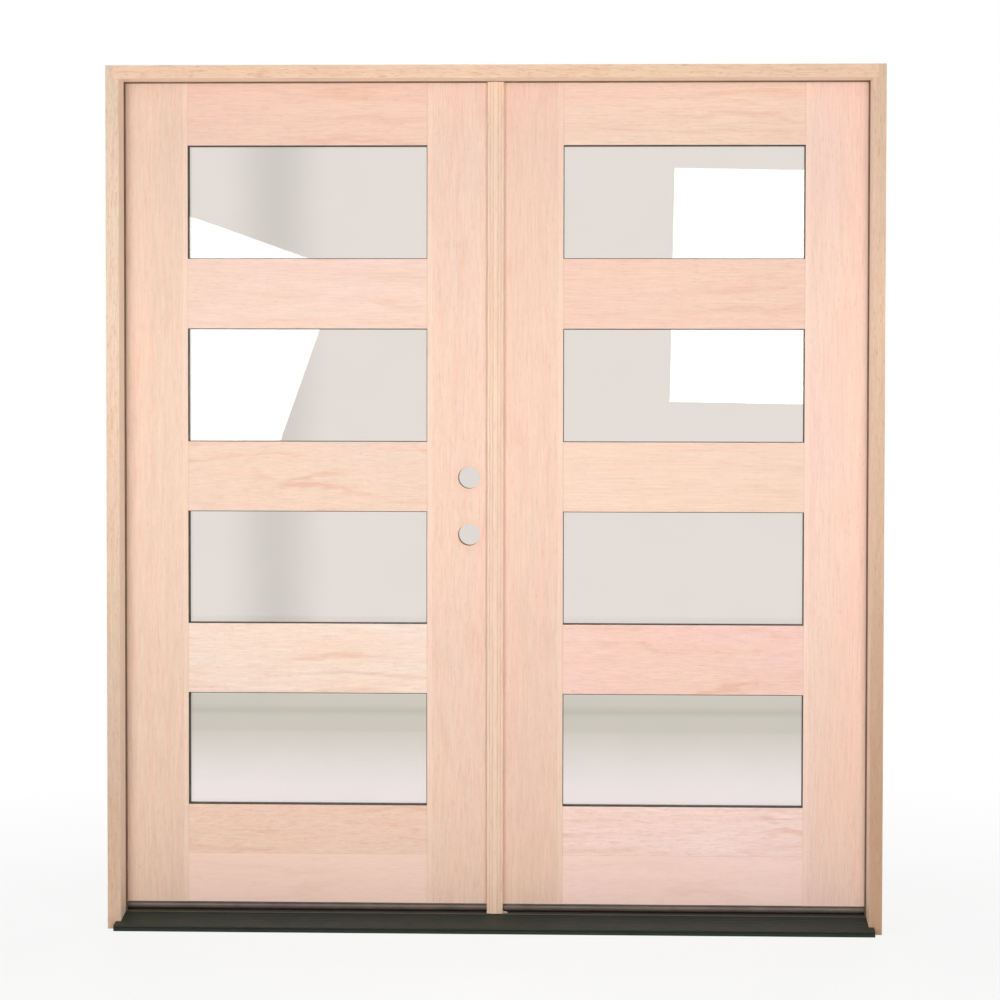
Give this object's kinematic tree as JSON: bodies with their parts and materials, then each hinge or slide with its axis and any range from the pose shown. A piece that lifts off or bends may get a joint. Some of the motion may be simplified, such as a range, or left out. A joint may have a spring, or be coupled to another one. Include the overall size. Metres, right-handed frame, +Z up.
{
  "type": "prehung double entry door",
  "caption": "Prehung double entry door: flush-glazed wood stile and rail leaves on butt hinges in a rabbeted wood frame, with a bronze sill, reeded astragal, flush bolts and lock bores.",
  "frame": {"origin": "middle of the sill base, in the plane of the outer jamb faces", "axes": "+X to the right seen from outside, +Y indoors through the wall, +Z up"},
  "size_m": [1.8796, 0.1574, 2.0955],
  "materials": {
    "stile_wood": "raw unfinished wood, vertical grain",
    "rail_wood": "raw unfinished wood, horizontal grain",
    "bead_wood": "raw unfinished wood",
    "jamb_wood": "raw unfinished wood with open pores",
    "astragal_wood": "raw unfinished wood, reeded",
    "sill_metal": "dark bronze anodised",
    "sill_composite": "dark composite",
    "seal_foam": "brown skinned foam",
    "sweep_vinyl": "dark flexible vinyl",
    "pad_foam": "beige foam",
    "glass": "clear sealed double glazing",
    "spacer_bar": "dark spacer bars and sealant",
    "hinge_metal": "satin nickel"
  },
  "bodies": {
    "frame": {"left_jamb": "jamb_wood", "right_jamb": "jamb_wood", "head_jamb": "jamb_wood", "sill_deck": "sill_metal", "sill_substrate": "sill_composite", "sill_cap": "sill_composite", "left_weatherstrip": "seal_foam", "right_weatherstrip": "seal_foam", "head_weatherstrip": "seal_foam", "corner_pads": "pad_foam", "left_jamb_hinge_top": "hinge_metal", "left_jamb_hinge_middle": "hinge_metal", "left_jamb_hinge_bottom": "hinge_metal", "right_jamb_hinge_top": "hinge_metal", "right_jamb_hinge_middle": "hinge_metal", "right_jamb_hinge_bottom": "hinge_metal", "hinge_pins": "hinge_metal", "jamb_hinge_screws": "hinge_metal", "bolt_strikes": "hinge_metal"},
    "active_leaf": {"active_hinge_stile": "stile_wood", "active_lock_stile": "stile_wood", "active_top_rail": "rail_wood", "active_upper_rail": "rail_wood", "active_middle_rail": "rail_wood", "active_lower_rail": "rail_wood", "active_bottom_rail": "rail_wood", "active_glass_1": "glass", "active_glass_2": "glass", "active_glass_3": "glass", "active_glass_4": "glass", "active_spacers": "spacer_bar", "active_glazing_beads": "bead_wood", "active_sweep": "sweep_vinyl", "active_hinge_top": "hinge_metal", "active_hinge_middle": "hinge_metal", "active_hinge_bottom": "hinge_metal", "active_hinge_screws": "hinge_metal"},
    "passive_leaf": {"passive_hinge_stile": "stile_wood", "passive_lock_stile": "stile_wood", "passive_top_rail": "rail_wood", "passive_upper_rail": "rail_wood", "passive_middle_rail": "rail_wood", "passive_lower_rail": "rail_wood", "passive_bottom_rail": "rail_wood", "passive_glass_1": "glass", "passive_glass_2": "glass", "passive_glass_3": "glass", "passive_glass_4": "glass", "passive_spacers": "spacer_bar", "passive_glazing_beads": "bead_wood", "passive_sweep": "sweep_vinyl", "passive_hinge_top": "hinge_metal", "passive_hinge_middle": "hinge_metal", "passive_hinge_bottom": "hinge_metal", "passive_hinge_screws": "hinge_metal", "astragal": "astragal_wood", "astragal_seals": "seal_foam", "flush_bolt_plates": "hinge_metal"},
    "top_bolt": {"top_bolt": "hinge_metal"},
    "bottom_bolt": {"bottom_bolt": "hinge_metal"}
  },
  "joints": [
    {"name": "active_hinge", "type": "hinge", "parent": "frame", "child": "active_leaf", "pos_m": [-0.91916, 0.1234, 0], "axis": [0, 0, 1], "range_deg": [0, 170]},
    {"name": "passive_hinge", "type": "hinge", "parent": "frame", "child": "passive_leaf", "pos_m": [0.91916, 0.1234, 0], "axis": [0, 0, -1], "range_deg": [0, 170]},
    {"name": "top_bolt_slide", "type": "slide", "parent": "passive_leaf", "child": "top_bolt", "axis": [0, 0, 1], "range_m": [0, 0.0145]},
    {"name": "bottom_bolt_slide", "type": "slide", "parent": "passive_leaf", "child": "bottom_bolt", "axis": [0, 0, -1], "range_m": [0, 0.03395]}
  ]
}
